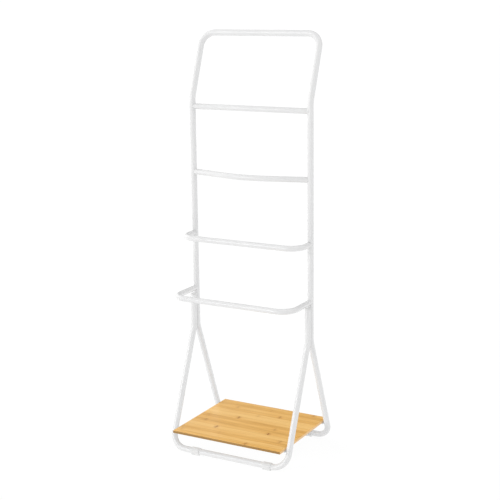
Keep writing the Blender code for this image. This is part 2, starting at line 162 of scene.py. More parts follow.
def pick_facing(item: Piece, way: Vector, closeness: float = 0.9) -> None:
    """Select the faces that look one way, and leave the object in edit mode.

    Args:
        item: The object, its place already in its mesh.
        way: The way they look.
        closeness: Cosine of how far off it they may look.
    """
    edit(item)
    bpy.ops.mesh.select_mode(type="FACE")
    bpy.ops.object.mode_set(mode="OBJECT")
    for face in item.data.polygons:
        face.select = face.normal.dot(way) > closeness
    bpy.ops.object.mode_set(mode="EDIT")


def named(title: str) -> Piece:
    """Name the primitive just added and put its place in its mesh.

    Args:
        title: The piece's name.

    Returns:
        The named object.
    """
    item = bpy.context.object
    item.name = title
    item.data.name = title
    take(item)
    bpy.ops.object.transform_apply(location=True, rotation=True, scale=True)
    return item


def facing(direction: Vector) -> Triple:
    """Angles that turn +Z to a direction."""
    return tuple(direction.to_track_quat("Z", "Y").to_euler())


def rod(title: str, start: Vector, end: Vector, radius: float, sides: int) -> Piece:
    """Add a capped cylinder between two points.

    Args:
        title: The piece's name.
        start: Centre of one end.
        end: Centre of the other end.
        radius: Outside radius.
        sides: How many flats it has.

    Returns:
        The cylinder.
    """
    clear()
    bpy.ops.mesh.primitive_cylinder_add(
        vertices=sides, radius=radius, depth=(end - start).length,
        location=(start + end) / 2, rotation=facing(end - start),
    )
    return named(title)


def block(title: str, low: Vector, high: Vector) -> Piece:
    """Add a box between two corners.

    Args:
        title: The piece's name.
        low: Lowest corner.
        high: Highest corner.

    Returns:
        The box.
    """
    clear()
    bpy.ops.mesh.primitive_cube_add(size=1.0, location=(low + high) / 2, scale=high - low)
    return named(title)


def modify(item: Piece, kind: str, **settings: object) -> None:
    """Add a modifier with its settings and apply it.

    Args:
        item: The object it changes.
        kind: The modifier's type.
        **settings: Values of the modifier.
    """
    take(item)
    modifier = item.modifiers.new(kind.lower(), kind)
    for key, value in settings.items():
        setattr(modifier, key, value)
    bpy.ops.object.modifier_apply(modifier=modifier.name)


def carve(item: Piece, tool: Piece, how: Carve = Carve.CUT) -> None:
    """Cut a tool's shape out of a piece, or add it; the tool is used up.

    Args:
        item: The piece.
        tool: The closed shape that meets it.
        how: Whether it is cut or added.
    """
    modify(item, "BOOLEAN", operation=how.value, solver="EXACT", object=tool)
    bpy.data.objects.remove(tool, do_unlink=True)


def drill(item: Piece, start: Vector, end: Vector, radius: float, sides: int = 24) -> None:
    """Make a round hole between two points.

    Args:
        item: The piece.
        start: Where the drill starts.
        end: Where it stops.
        radius: The hole's radius.
        sides: How many flats the hole has.
    """
    carve(item, rod("drill", start, end, radius, sides))


def ease(item: Piece, width: float, segments: int = 2, angle: float = 40.0) -> None:
    """Round a piece's sharp edges.

    Args:
        item: The piece.
        width: How far the rounding reaches.
        segments: How many steps it has.
        angle: Edges that turn further than this, in degrees, are rounded.
    """
    modify(
        item, "BEVEL", width=width, segments=segments, limit_method="ANGLE",
        angle_limit=math.radians(angle), use_clamp_overlap=True,
    )


def face_out(item: Piece) -> None:
    """Merge doubled points and turn all faces outwards.

    Args:
        item: The object.
    """
    edit(item, everything=True)
    bpy.ops.mesh.remove_doubles(threshold=MERGE_REACH)
    bpy.ops.mesh.normals_make_consistent(inside=False)
    bpy.ops.object.mode_set(mode="OBJECT")


def copied(item: Piece, title: str, moved: Matrix) -> Piece:
    """Copy a piece with a mesh of its own, moved to another place.

    Args:
        item: The piece to copy.
        title: The copy's name.
        moved: Where the copy goes, from where the piece is.

    Returns:
        The copy.
    """
    take(item)
    bpy.ops.object.duplicate(linked=False)
    twin = bpy.context.object
    twin.matrix_world = moved @ twin.matrix_world
    return named(title)


def deliver(item: Piece, dress: Material, slot: Slot, stands_for: str = "") -> None:
    """Shade a finished piece, dress it, and fix it to the stand's body.

    Args:
        item: The finished piece.
        dress: Its material, unless its faces already have theirs.
        slot: The record's material slot it belongs to.
        stands_for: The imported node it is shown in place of, if there is one.
    """
    take(item)
    bpy.ops.object.shade_smooth_by_angle(angle=SMOOTH_ANGLE)
    if not item.data.materials:
        item.data.materials.append(dress)
    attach(item, BODY)
    if stands_for:
        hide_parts(stands_for)
    log.info("%s: %d faces, %s", item.name, len(item.data.polygons), slot.value)


# --- Finishes ---


class Recipe:
    """A material, or a room's light, under construction: its nodes and their links."""

    def __init__(
        self, owner: Material | bpy.types.World, shader: str = "Principled BSDF"
    ) -> None:
        """Start from the owner's untouched shader.

        Args:
            owner: What the nodes are for.
            shader: Name of its shader node.
        """
        owner.use_nodes = True
        self.owner = owner
        self.tree = owner.node_tree
        self.shader = self.tree.nodes[shader]

    def add(self, kind: str, **settings: object) -> Node:
        """Add a node and set its properties.

        Args:
            kind: The node's type, without its common first part.
            **settings: Values of its properties.

        Returns:
            The node.
        """
        node = self.tree.nodes.new("ShaderNode" + kind)
        for key, value in settings.items():
            setattr(node, key, value)
        return node

    def feed(self, node: Node, **inputs: object) -> None:
        """Link or set a node's inputs, named with underscores for spaces.

        Args:
            node: The node that takes them.
            **inputs: A socket to link, or a value to set, for each input.
        """
        for key, value in inputs.items():
            number = key[1:]
            target = node.inputs[int(number) if number.isdigit() else key.replace("_", " ")]
            if isinstance(value, Socket):
                self.tree.links.new(value, target)
            else:
                target.default_value = value

    def math(self, operation: str, first: object, second: object = 0.0) -> Socket:
        """One arithmetic step on two values or sockets.

        Args:
            operation: The step's name.
            first: The first socket or number.
            second: The second socket or number.

        Returns:
            The result.
        """
        node = self.add("Math", operation=operation)
        self.feed(node, _0=first, _1=second)
        return node.outputs[0]

    def place(self) -> Socket:
        """Place on the piece, in metres."""
        return self.add("TexCoord").outputs["Object"]

    def noise(
        self, where: Socket, scale: float, detail: float = 2.0, roughness: float = 0.5
    ) -> Socket:
        """Cloudy noise from 0 to 1.

        Args:
            where: The coordinates it is read at.
            scale: How fine it is, in clouds per unit.
            detail: How many finer layers it has.
            roughness: How strong the finer layers are.

        Returns:
            The noise.
        """
        node = self.add("TexNoise")
        self.feed(node, Vector=where, Scale=scale, Detail=detail, Roughness=roughness)
        return node.outputs["Fac"]

    def ramp(self, value: Socket, stops: Sequence[tuple[float, Colour]]) -> Socket:
        """Colour looked up along a row of stops.

        Args:
            value: Where to look, from 0 to 1.
            stops: Positions and their colours, in order.

        Returns:
            The colour.
        """
        node = self.add("ValToRGB")
        elements = node.color_ramp.elements
        while len(elements) < len(stops):
            elements.new(0.5)
        for element, (position, colour) in zip(elements, stops):
            element.position = position
            element.color = (*colour, 1.0)
        self.feed(node, Fac=value)
        return node.outputs["Color"]

    def span(
        self, value: Socket, low: float, high: float, start: float = 0.0, end: float = 1.0
    ) -> Socket:
        """A value carried from one range to another, kept inside it.

        Args:
            value: The value, read from start to end.
            low: What start becomes.
            high: What end becomes.
            start: The first end of the range it is read over.
            end: The other end of that range.

        Returns:
            The carried value.
        """
        node = self.add("MapRange", interpolation_type="SMOOTHSTEP")
        self.feed(node, _0=value, _1=start, _2=end, _3=low, _4=high)
        return node.outputs["Result"]

    def blend(self, share: Socket, first: Socket | Colour, second: Socket | Colour) -> Socket:
        """A colour between two others.

        Args:
            share: How much of the second, from 0 to 1.
            first: The first colour.
            second: The second colour.

        Returns:
            The mixed colour.
        """
        node = self.add("Mix", data_type="RGBA")
        self.feed(node, _0=share)
        for index, colour in ((6, first), (7, second)):
            value = colour if isinstance(colour, Socket) else (*colour, 1.0)
            self.feed(node, **{f"_{index}": value})
        return node.outputs[2]

    def relief(self, height: Socket, depth: float, strength: float = 1.0) -> None:
        """Raise and sink the surface by a height from 0 to 1.

        Args:
            height: The height.
            depth: How far 1 stands above 0, in metres.
            strength: How much of it shows.
        """
        node = self.add("Bump")
        self.feed(node, Height=height, Distance=depth, Strength=strength)
        self.feed(self.shader, Normal=node.outputs["Normal"])


@dataclass(frozen=True)
class PowderCoat:
    """White powder coat on steel: satin, with a fine orange peel."""

    title: str = "white_powder_coat"
    light: Colour = (0.775, 0.775, 0.775)
    shade: Colour = (0.755, 0.755, 0.758)
    cloud_scale: float = 9.0
    satin: float = 0.21
    rough: float = 0.26
    gloss_scale: float = 14.0
    peel_scale: float = 620.0
    peel_depth: float = 0.00004
    peel_strength: float = 0.25

    def make(self) -> Material:
        """Build the material.

        Returns:
            The material.
        """
        recipe = Recipe(bpy.data.materials.new(self.title))
        place = recipe.place()
        clouds = recipe.noise(place, self.cloud_scale, 3.0)
        gloss = recipe.noise(place, self.gloss_scale, 1.0)
        peel = recipe.noise(place, self.peel_scale, 1.5, 0.35)
        colour = recipe.ramp(clouds, ((0.35, self.shade), (0.65, self.light)))
        rough = recipe.span(gloss, self.satin, self.rough, 0.2, 0.8)
        recipe.feed(recipe.shader, Base_Color=colour, Roughness=rough)
        recipe.relief(peel, self.peel_depth, self.peel_strength)
        return recipe.owner


@dataclass(frozen=True)
class MouldedPlastic:
    """White moulded plastic with a fine spark-eroded grain."""

    title: str = "white_plastic"
    light: Colour = (0.78, 0.78, 0.775)
    shade: Colour = (0.72, 0.72, 0.715)
    flow_scale: float = 60.0
    satin: float = 0.42
    rough: float = 0.58
    grain_scale: float = 1500.0
    grain_depth: float = 0.00003
    grain_strength: float = 0.7

    def make(self) -> Material:
        """Build the material.

        Returns:
            The material.
        """
        recipe = Recipe(bpy.data.materials.new(self.title))
        place = recipe.place()
        flow = recipe.noise(place, self.flow_scale, 3.0)
        grain = recipe.noise(place, self.grain_scale, 2.0, 0.6)
        colour = recipe.ramp(flow, ((0.3, self.shade), (0.7, self.light)))
        rough = recipe.span(grain, self.satin, self.rough, 0.3, 0.7)
        recipe.feed(recipe.shader, Base_Color=colour, Roughness=rough)
        recipe.relief(grain, self.grain_depth, self.grain_strength)
        return recipe.owner


@dataclass(frozen=True)
class ZincPlate:
    """Bright zinc plate on steel, faintly blue and yellow, with fine drawn lines."""

    title: str = "zinc_plated_steel"
    blue: Colour = (0.56, 0.59, 0.63)
    yellow: Colour = (0.66, 0.64, 0.56)
    bloom_scale: float = 140.0
    bright: float = 0.22
    rough: float = 0.42
    line_scale: float = 2600.0
    line_stretch: Triple = (1.0, 0.05, 1.0)
    line_depth: float = 0.00001
    line_strength: float = 0.5

    def make(self) -> Material:
        """Build the material.

        Returns:
            The material.
        """
        recipe = Recipe(bpy.data.materials.new(self.title))
        place = recipe.place()
        stretch = recipe.add("Mapping")
        recipe.feed(stretch, Vector=place, Scale=self.line_stretch)
        lines = recipe.noise(stretch.outputs["Vector"], self.line_scale, 2.0)
        bloom = recipe.noise(place, self.bloom_scale, 3.0)
        colour = recipe.ramp(bloom, ((0.35, self.blue), (0.65, self.yellow)))
        rough = recipe.span(lines, self.bright, self.rough, 0.3, 0.7)
        recipe.feed(recipe.shader, Base_Color=colour, Roughness=rough, Metallic=1.0)
        recipe.relief(lines, self.line_depth, self.line_strength)
        return recipe.owner


@dataclass(frozen=True)
class StaveChart:
    """Where each point of the board lies on its stave, and what the stave carries."""

    recipe: Recipe
    stave_shift: float = 37.0

    def place(self) -> tuple[Socket, Socket]:
        """Where a point lies on its stave.

        Returns:
            Metres along the stave, and the share of the way across it.
        """
        split = self.recipe.add("SeparateXYZ")
        chart = self.recipe.add("UVMap", uv_map="staves")
        self.recipe.feed(split, Vector=chart.outputs["UV"])
        return split.outputs["X"], split.outputs["Y"]

    def carried(self, name: str) -> Socket:
        """A value that each face of the board carries."""
        return self.recipe.add("Attribute", attribute_name=name).outputs["Fac"]

    def from_middle(self) -> Socket:
        """Share of the way from the stave's middle line, up to a half at its edges."""
        offset = self.recipe.math("SUBTRACT", self.place()[1], 0.5)
        return self.recipe.math("ABSOLUTE", offset)

    def noise(self, waves: Range, detail: float, roughness: float = 0.5) -> Socket:
        """Noise drawn out along the stave, and different on each stave.

        Args:
            waves: How many waves it has per metre along the stave, and across the stave.
            detail: How many finer layers it has.
            roughness: How strong the finer layers are.

        Returns:
            The noise, from 0 to 1.
        """
        recipe = self.recipe
        along, across = self.place()
        grid = recipe.add("CombineXYZ")
        recipe.feed(
            grid,
            X=recipe.math("MULTIPLY", along, waves[0]),
            Y=recipe.math("MULTIPLY", across, waves[1]),
            Z=recipe.math("MULTIPLY", self.carried("stave"), self.stave_shift),
        )
        return recipe.noise(grid.outputs["Vector"], 1.0, detail, roughness)


@dataclass(frozen=True)
class LacqueredBamboo:
    """Flat-laid bamboo staves under clear lacquer: fibres, glue lines and knuckles.

    It reads the board's own map, whose U runs along a stave in metres and whose V runs
    from 0 to 1 across it, and three values that each face carries for its stave. For the
    board's edges it also paints shade, pulling the colour towards a darkened deep tone.
    """

    title: str = "bamboo"
    pale: Colour = (0.980, 0.605, 0.195)
    middle: Colour = (0.895, 0.500, 0.120)
    deep: Colour = (0.710, 0.360, 0.060)
    fibre: Colour = (0.480, 0.215, 0.035)
    knuckle: Colour = (0.420, 0.140, 0.004)
    glue: Colour = (0.430, 0.200, 0.040)
    # Painted shade on the board's edges: how far the deep tone is darkened; 0 paints none.
    painted_edge_shade: float = 0.0
    # Waves of each pattern, per metre along a stave and across it.
    cane_waves: Range = (9.0, 3.57)
    long_waves: Range = (7.0, 9.996)
    fine_waves: Range = (34.0, 61.88)
    wander_waves: Range = (30.0, 3.0)
    # How strongly the long and fine fibres and the glue show.
    streak: float = 0.42
    fleck: float = 0.30
    glue_strength: float = 0.55
    # Where a glue line starts and is full, from the stave's middle line.
    seam: Range = (0.478, 0.498)
    # From a joint's middle: where its dark core and its halo start to fade and end.
    core: Range = (0.0008, 0.0052)
    halo: Range = (0.003, 0.016)
    halo_strength: float = 0.35
    wander: float = 0.012
    edge_strength: float = 0.25
    rough: Range = (0.36, 0.50)
    lacquer: float = 0.12
    lacquer_rough: float = 0.3
    fibre_depth: float = 0.00006
    fibre_strength: float = 0.5

    def make(self) -> Material:
        """Build the material.

        Returns:
            The material.
        """
        recipe = Recipe(bpy.data.materials.new(self.title))
        chart = StaveChart(recipe)
        long_fibres = chart.noise(self.long_waves, 4.0, 0.6)
        fine_fibres = chart.noise(self.fine_waves, 3.0, 0.55)
        cane = chart.noise(self.cane_waves, 3.0)

        both = recipe.math("ADD", chart.carried("stave"), cane)
        stops = ((0.32, self.deep), (0.5, self.middle), (0.68, self.pale))
        colour = recipe.ramp(recipe.math("MULTIPLY", both, 0.5), stops)
        streaks = recipe.span(long_fibres, 0.0, self.streak, 0.50, 0.78)
        flecks = recipe.span(fine_fibres, 0.0, self.fleck, 0.60, 0.80)
        joints = self.joints(recipe, chart)
        seams = recipe.span(chart.from_middle(), 0.0, self.glue_strength, *self.seam)
        tints = (self.fibre, self.fibre, self.knuckle, self.glue)
        for share, tint in zip((streaks, flecks, joints, seams), tints):
            colour = recipe.blend(share, colour, tint)
        # Painted shade: the edges are drawn darker, blended strongly towards the darkened deep
        # tone.
        if self.painted_edge_shade:
            painted_shade = tuple(channel * (1.0 - self.painted_edge_shade) for channel in self.deep)
            share = recipe.span(long_fibres, self.painted_edge_shade, 0.95, 0.3, 0.7)
            colour = recipe.blend(share, colour, painted_shade)

        recipe.feed(
            recipe.shader, Base_Color=colour,
            Roughness=recipe.span(long_fibres, *self.rough, 0.35, 0.7),
            Coat_Weight=self.lacquer, Coat_Roughness=self.lacquer_rough,
        )
        height = recipe.math("SUBTRACT", fine_fibres, recipe.math("ADD", joints, seams))
        recipe.relief(height, self.fibre_depth, self.fibre_strength)
        return recipe.owner

    def joints(self, recipe: Recipe, chart: StaveChart) -> Socket:
        """The dark band where a cane's joint crosses a stave.

        Args:
            recipe: The material.
            chart: Where each point lies on its stave.

        Returns:
            How strongly the joint shows, from 0 to 1.
        """
        swing = recipe.math("SUBTRACT", chart.noise(self.wander_waves, 2.0), 0.5)
        bowed = recipe.math("ADD", chart.place()[0], recipe.math("MULTIPLY", swing, self.wander))
        reach = recipe.math("ABSOLUTE", recipe.math("SUBTRACT", bowed, chart.carried("knuckle")))
        core = recipe.span(reach, 1.0, 0.0, *self.core)
        halo = recipe.span(reach, self.halo_strength, 0.0, *self.halo)
        taper = recipe.span(chart.from_middle(), 1.0, self.edge_strength, 0.30, 0.5)
        band = recipe.math("MULTIPLY", recipe.math("MAXIMUM", core, halo), taper)
        return recipe.math("MULTIPLY", band, chart.carried("depth"))


@dataclass(frozen=True)
class BambooEnd:
    """Sawn bamboo end grain: dark fibre bundles as dots in paler pith."""

    title: str = "bamboo_end"
    pith: Colour = (0.820, 0.540, 0.270)
    bundle: Colour = (0.520, 0.300, 0.130)
    bundle_scale: float = 950.0
    bundle_size: Range = (0.18, 0.42)
    patch_scale: float = 130.0
    faintest: float = 0.35
    rough: float = 0.55
    bundle_depth: float = 0.00005
    bundle_strength: float = 0.6

    def make(self) -> Material:
        """Build the material.

        Returns:
            The material.
        """
        recipe = Recipe(bpy.data.materials.new(self.title))
        place = recipe.place()
        cells = recipe.add("TexVoronoi", feature="F1")
        recipe.feed(cells, Vector=place, Scale=self.bundle_scale, Randomness=0.9)
        dots = recipe.span(cells.outputs["Distance"], 1.0, 0.0, *self.bundle_size)
        patches = recipe.noise(place, self.patch_scale, 3.0)
        share = recipe.math("MULTIPLY", dots, recipe.span(patches, self.faintest, 1.0, 0.3, 0.7))
        colour = recipe.blend(share, self.pith, self.bundle)
        recipe.feed(recipe.shader, Base_Color=colour, Roughness=self.rough)
        recipe.relief(share, -self.bundle_depth, self.bundle_strength)
        return recipe.owner


@dataclass(frozen=True)
class Finishes:
    """Every finish of the stand, made once."""

    coat: Material = field(default_factory=PowderCoat().make)
    plastic: Material = field(default_factory=MouldedPlastic().make)
    zinc: Material = field(default_factory=ZincPlate().make)
    bamboo: Material = field(default_factory=LacqueredBamboo().make)
    # The board's long edges: the same bamboo with painted shade.
    shaded_bamboo_edge: Material = field(
        default_factory=LacqueredBamboo(title="shaded_bamboo_edge", painted_edge_shade=0.68).make
    )
    bamboo_end: Material = field(default_factory=BambooEnd().make)


# --- Places ---


@dataclass(frozen=True)
class Plan:
    """Places that several pieces share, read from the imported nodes' boxes."""

    tube_radius: float = 0.011
    tube_wall: float = 0.0012
    bar_radius: float = 0.010
    bar_wall: float = 0.0012

    @staticmethod
    def middle(node: str) -> Vector:
        """Centre of a node's box."""
        low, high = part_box(node)
        return (low + high) / 2

    @property
    def half_width(self) -> float:
        """From the middle of the stand to the centre of an upright."""
        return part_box("upper_frame")[1].x - self.tube_radius

    @property
    def upright_y(self) -> float:
        """Depth of the uprights' centres."""
        return self.middle("towel_bar_1_straight").y

    @property
    def leg_y(self) -> float:
        """Depth of the front leg tubes' centres where they lie along the uprights."""
        return self.middle("leg_plug_left").y


@dataclass
class BentTube:
    """A round tube bent along a line of corners."""

    title: str
    corners: Sequence[Vector]
    bends: Sequence[float]
    radius: float
    wall: float
    sides: int = 36
    bend_step: float = math.radians(5)
    rim_ease: float = 0.00025
    rim_angle: float = 55.0

    def build(self) -> Piece:
        """Draw the tube from a ring: pushed along the straights, spun round the bends.

        Returns:
            The tube, with its wall.
        """
        ahead = (self.corners[1] - self.corners[0]).normalized()
        clear()
        bpy.ops.mesh.primitive_circle_add(
            vertices=self.sides, radius=self.radius, fill_type="NOTHING",
            location=self.corners[0], rotation=facing(ahead),
        )
        tube = named(self.title)
        edit(tube, everything=True)
        here = self.corners[0]
        turns = zip(self.corners, self.corners[1:], self.corners[2:], self.bends)
        for before, corner, after, bend in turns:
            back = (before - corner).normalized()
            onward = (after - corner).normalized()
            half = back.angle(onward) / 2
            setback = bend / math.tan(half)
            self.push(corner + back * setback - here)
            turn = math.pi - 2 * half
            bpy.ops.mesh.spin(
                steps=math.ceil(turn / self.bend_step), angle=turn,
                center=corner + (back + onward).normalized() * (bend / math.sin(half)),
                axis=back.cross(onward).normalized(),
            )
            here = corner + onward * setback
        self.push(self.corners[-1] - here)
        bpy.ops.object.mode_set(mode="OBJECT")
        face_out(tube)
        self.check_outwards(tube)
        modify(tube, "SOLIDIFY", thickness=self.wall, offset=-1.0, use_even_offset=True)
        return tube

    def push(self, step: Vector) -> None:
        """Draw the open ring along a straight."""
        bpy.ops.mesh.extrude_region_move(TRANSFORM_OT_translate={"value": step})

    def check_outwards(self, tube: Piece) -> None:
        """Turn the tube's faces over if the one nearest its start looks inwards.

        Args:
            tube: The tube before it has its wall.
        """
        start = self.corners[0]
        first = min(tube.data.polygons, key=lambda face: (face.center - start).length)
        if first.normal.dot(first.center - start) < 0:
            edit(tube, everything=True)
            bpy.ops.mesh.flip_normals()
            bpy.ops.object.mode_set(mode="OBJECT")


def mirrored(corners: Sequence[Vector]) -> list[Vector]:
    """Corners of a left half, followed by the same corners on the right."""
    return [*corners, *(Vector((-corner.x, corner.y, corner.z)) for corner in reversed(corners))]


# --- Sub-assemblies ---


@dataclass
class FrameTubes:
    """The three bent frames: the leaning top, the rear legs and the front legs."""

    plan: Plan
    finishes: Finishes
    lean_bend_height: float = 1.2855
    splay_height: float = 0.4347
    easy_bend: float = 0.060
    top_bend: float = 0.050
    foot_bend: float = 0.055
    hole_radius: float = 0.0034

    def build(self) -> None:
        """Make the three tubes and drill them for their screws."""
        radius = self.plan.tube_radius
        depth, leg_depth = self.plan.upright_y, self.plan.leg_y
        low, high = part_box("upper_frame")
        upper = self.tube("upper_frame_tube", self.top_bend, (
            (depth, low.z), (depth, self.lean_bend_height), (high.y - radius, high.z - radius),
        ))
        low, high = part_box("rear_leg_frame")
        rear = self.tube("rear_leg_tube", self.foot_bend, (
            (depth, high.z), (depth, self.splay_height), (high.y - radius, low.z + radius),
        ))
        low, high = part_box("front_leg_frame")
        front = self.tube("front_leg_tube", self.foot_bend, (
            (leg_depth, high.z), (leg_depth, self.splay_height), (low.y + radius, low.z + radius),
        ))
        self.drill_through(upper, rear, front)
        nodes = ("upper_frame", "rear_leg_frame", "front_leg_frame")
        for tube, node in zip((upper, rear, front), nodes):
            ease(tube, BentTube.rim_ease, angle=BentTube.rim_angle)
            deliver(tube, self.finishes.coat, Slot.POWDER_COAT, node)

    def tube(self, title: str, last_bend: float, left: Sequence[tuple[float, float]]) -> Piece:
        """One frame tube, the same on both sides.

        Args:
            title: The tube's name.
            last_bend: Centre radius of the bend at the last corner of its left half.
            left: Depth and height of each corner of its left half.

        Returns:
            The tube.
        """
        corners = mirrored([Vector((-self.plan.half_width, *corner)) for corner in left])
        bends = [self.easy_bend, last_bend, last_bend, self.easy_bend]
        return BentTube(
            title, corners, bends, self.plan.tube_radius, self.plan.tube_wall
        ).build()

    def drill_through(self, upper: Piece, rear: Piece, front: Piece) -> None:
        """Drill the tubes from behind for the screws that pass through them.

        Args:
            upper: The upper frame.
            rear: The rear leg frame.
            front: The front leg frame.
        """
        reach = Y_AXIS * (self.plan.tube_radius + self.plan.tube_wall)
        for label in SIDES:
            for screw, tubes, ahead in (
                (f"bar_3_screw_{label}", [upper], reach),
                (f"bar_4_screw_{label}", [rear], reach),
                (f"sleeve_screw_{label}", [rear], Vector()),
                (f"leg_screw_{label}_lower", [rear, front], 2 * reach),
                (f"leg_screw_{label}_upper", [rear, front], 2 * reach),
            ):
                spot = Plan.middle(screw)
                spot.y = self.plan.upright_y
                for tube in tubes:
                    drill(tube, spot + reach, spot - ahead, self.hole_radius)


@dataclass
class TowelBars:
    """The four towel bars and the welds of the upper two."""

    plan: Plan
    finishes: Finishes
    bar_bend: float = 0.055
    bow_bend: float = 0.326
    bow_reach: float = 0.0596
    end_sink: float = 0.003
    sides: int = 32
    # The saddles' side count keeps their corners off the line of the bars' corners.
    saddle_sides: int = 70
    saddle_gap: float = 0.0003
    saddle_reach: float = 0.03
    bead_radius: float = 0.0012
    bead_sections: int = 48
    bead_sides: int = 10
    bead_lift: float = 0.3
    bead_ripple: float = 1.07

    def build(self) -> None:
        """Make the bars from the top down, with their welds."""
        half, depth = self.plan.half_width, self.plan.upright_y
        inside = half - self.end_sink
        straight = Plan.middle("towel_bar_1_straight").z
        bowed = Plan.middle("towel_bar_2_bowed").z
        self.bar("towel_bar_1_tube", "towel_bar_1_straight", [
            Vector((-inside, depth, straight)), Vector((inside, depth, straight)),
        ], [])
        self.bar("towel_bar_2_tube", "towel_bar_2_bowed", [
            Vector((-inside, depth, bowed)),
            Vector((0.0, depth - self.bow_reach, bowed)),
            Vector((inside, depth, bowed)),
        ], [self.bow_bend])
        for number, node in ((3, "towel_bar_3_shallow"), (4, "towel_bar_4_deep")):
            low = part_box(node)[0]
            height = Plan.middle(node).z
            self.bar(f"towel_bar_{number}_tube", node, mirrored([
                Vector((-half, depth - self.end_sink, height)),
                Vector((-half, low.y + self.plan.bar_radius, height)),
            ]), [self.bar_bend] * 2)
        for label, side in SIDES.items():
            self.weld(f"bar_1_weld_{label}", side, straight, 0.0)
            self.weld(f"bar_2_weld_{label}", side, bowed, math.atan(self.bow_reach / half))

    def bar(
        self, title: str, node: str, corners: Sequence[Vector], bends: Sequence[float]
    ) -> None:
        """One bar, its ends shaped to the round uprights.

        Args:
            title: The bar's name.
            node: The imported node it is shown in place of.
            corners: The line it follows.
            bends: Centre radii of its bends.
        """
        plan = self.plan
        bar = BentTube(title, corners, bends, plan.bar_radius, plan.bar_wall, self.sides).build()
        reach = Z_AXIS * self.saddle_reach
        saddle = plan.tube_radius + self.saddle_gap
        for side in SIDES.values():
            middle = Vector((side * plan.half_width, plan.upright_y, corners[0].z))
            drill(bar, middle + reach, middle - reach, saddle, self.saddle_sides)
        ease(bar, BentTube.rim_ease, angle=BentTube.rim_angle)
        deliver(bar, self.finishes.coat, Slot.POWDER_COAT, node)

    def weld(self, title: str, side: float, height: float, swing: float) -> None:
        """A rippled bead round the saddle where a bar meets an upright.

        Args:
            title: The bead's name.
            side: -1 for the left upright and 1 for the right one.
            height: Height of the bar's centre.
            swing: How far the bar turns forwards from the line between the uprights.
        """
        centre = Vector((side * self.plan.half_width, self.plan.upright_y, height))
        ring = self.plan.bar_radius + self.bead_lift * self.bead_radius
        clear()
        bpy.ops.mesh.primitive_torus_add(
            major_segments=self.bead_sections, minor_segments=self.bead_sides, major_radius=ring,
            minor_radius=self.bead_radius, location=centre, rotation=(0.0, math.pi / 2, 0.0),
        )
        bead = named(title)
        step = 2 * math.pi / self.bead_sections
        for number in range(self.bead_sections):
            angle = number * step
            across = ring * math.cos(angle)
            spot = centre + Vector((0.0, across, ring * math.sin(angle)))
            pick(bead, lambda point: self.near_angle(point - centre, angle, step / 2))
            swell = self.bead_ripple if number % 2 else 1.0
            bpy.ops.transform.resize(value=(swell,) * 3, center_override=spot)
            inward = math.sqrt(self.plan.tube_radius**2 - across**2)
            lead = -across * math.sin(swing)
            bpy.ops.transform.translate(value=(-side * (inward + lead), 0.0, 0.0))
        face_out(bead)
        deliver(bead, self.finishes.coat, Slot.POWDER_COAT)

    @staticmethod
    def near_angle(arm: Vector, angle: float, tolerance: float) -> bool:
        """Whether a point lies near an angle round the bar's line."""
        gap = math.atan2(arm.z, arm.y) - angle
        return abs(math.remainder(gap, 2 * math.pi)) < tolerance


@dataclass(frozen=True)
class DomedPin:
    """A domed round head on a thinner stem, such as a screw's or a plug's.

    The dome is the share of the head's height that is rounded, and the tip is the share
    of the stem's width that is left at its end.
    """

    radius: float
    height: float
    dome: float
    dome_steps: int
    stem_radius: float
    tip: float
    sides: int

    def build(self, title: str, top: Vector, out: Vector, stem: Sequence[float]) -> Piece:
        """Round the head's rim and draw the stem from its other side.

        Args:
            title: The piece's name.
            top: Middle of the head's top.
            out: The way the head faces.
            stem: Lengths of the stem's stretches; the last one narrows to the tip.

        Returns:
            The piece.
        """
        seat = top - out * self.height
        piece = rod(title, seat, top, self.radius, self.sides)
        pick(piece, lambda point: (point - top).dot(out) > -self.height / 2)
        bpy.ops.mesh.bevel(
            offset=self.height * self.dome, segments=self.dome_steps, affect="EDGES"
        )
        pick_facing(piece, -out)
        bpy.ops.mesh.inset(thickness=self.radius - self.stem_radius)
        for length in stem:
            bpy.ops.mesh.extrude_region_move(TRANSFORM_OT_translate={"value": -out * length})
        bpy.ops.transform.resize(value=(self.tip,) * 3, center_override=seat - out * sum(stem))
        face_out(piece)
        return piece


@dataclass
class Screws:
    """Button-head screws with a hexagon recess, seen from behind and below."""

    finishes: Finishes
    head: float = 0.0030
    shank_radius: float = 0.003
    wood_head: float = 0.0024
    wood_shank_radius: float = 0.002
    dome: float = 0.62
    dome_steps: int = 5
    tip: float = 0.75
    end_chamfer: float = 0.0006
    sides: int = 32
    key_radius: float = 0.0022
    key_sides: int = 6
    key_floor: float = 0.35

    def build(self) -> None:
        """Make every screw of the stand."""
        for label in SIDES:
            for node in (
                f"bar_3_screw_{label}", f"bar_4_screw_{label}", f"sleeve_screw_{label}",
                f"leg_screw_{label}_lower", f"leg_screw_{label}_upper",
            ):
                self.screw(node, Y_AXIS, self.head, self.shank_radius)
            for row in ("front", "rear"):
                node = f"shelf_screw_{row}_{label}"
                self.screw(node, -Z_AXIS, self.wood_head, self.wood_shank_radius)

    def screw(self, node: str, out: Vector, head: float, shank_radius: float) -> None:
        """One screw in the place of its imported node.

        Args:
            node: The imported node.
            out: The way its head faces.
            head: Height of its head.
            shank_radius: Radius of its shank.
        """
        low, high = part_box(node)
        length = abs((high - low).dot(out))
        top = (low + high) / 2 + out * length / 2
        radius = (high.x - low.x) / 2
        pin = DomedPin(
            radius, head, self.dome, self.dome_steps, shank_radius, self.tip, self.sides
        )
        stem = (length - head - self.end_chamfer, self.end_chamfer)
        screw = pin.build(f"{node}_piece", top, out, stem)
        floor = top - out * head * (1 - self.key_floor)
        carve(screw, rod("key", floor, floor + out * head, self.key_radius, self.key_sides))
        deliver(screw, self.finishes.zinc, Slot.ZINC, node)


